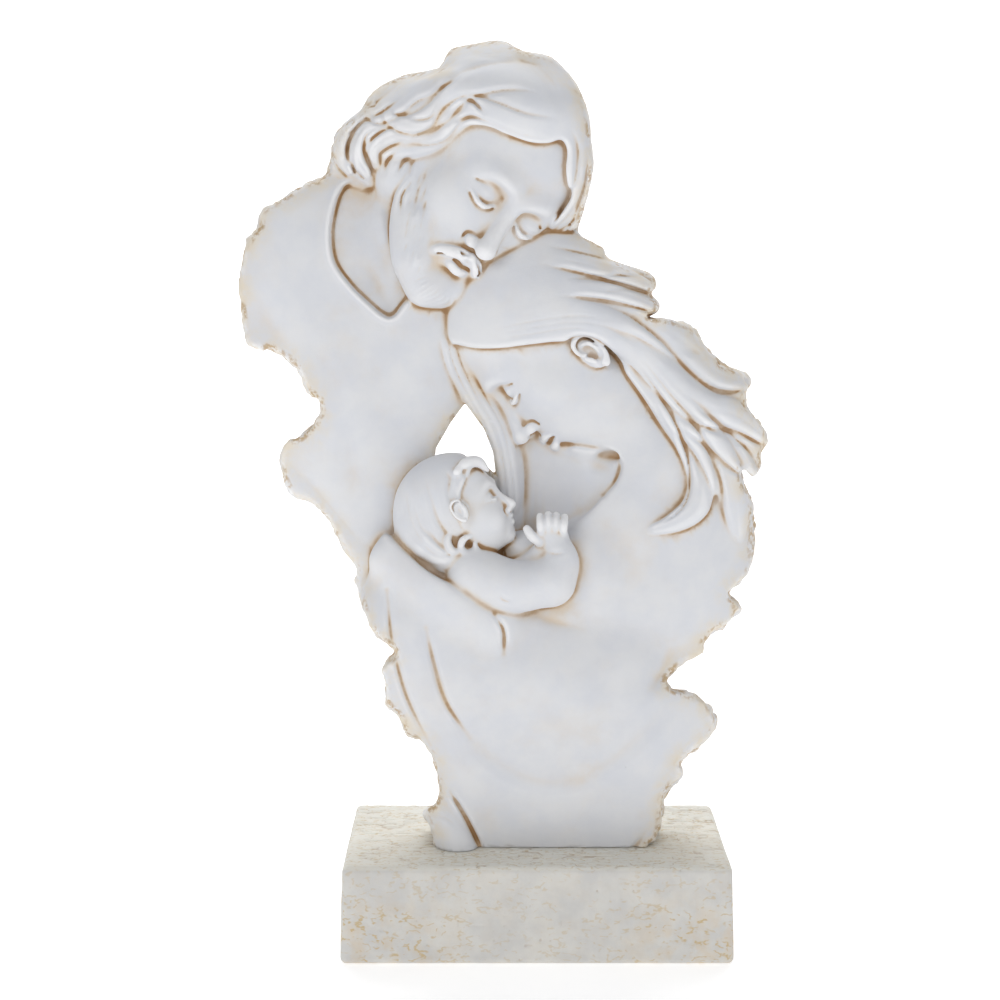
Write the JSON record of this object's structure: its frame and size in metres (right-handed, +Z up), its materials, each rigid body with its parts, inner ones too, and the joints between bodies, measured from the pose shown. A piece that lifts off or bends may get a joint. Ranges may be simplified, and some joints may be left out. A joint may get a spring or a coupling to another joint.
{
  "type": "holy family statue",
  "caption": "Table-top cast relief of a bearded man, a woman with flowing hair and an infant, with rough broken edges, standing on a pitted rectangular plinth.",
  "frame": {"origin": "centre of the plinth's underside", "axes": "+Z up, +X to the viewer's right when facing the figures, -Y towards the viewer"},
  "size_m": [0.1652, 0.0638, 0.2829],
  "materials": {
    "cast_white_resin": "matte stone-filled white resin with a thin brown antiquing wash in the creases",
    "pitted_stone": "matt cream stone-textured resin, pitted top, brown staining"
  },
  "bodies": {
    "root": {"figure_group": "cast_white_resin", "plinth": "pitted_stone"}
  },
  "joints": []
}
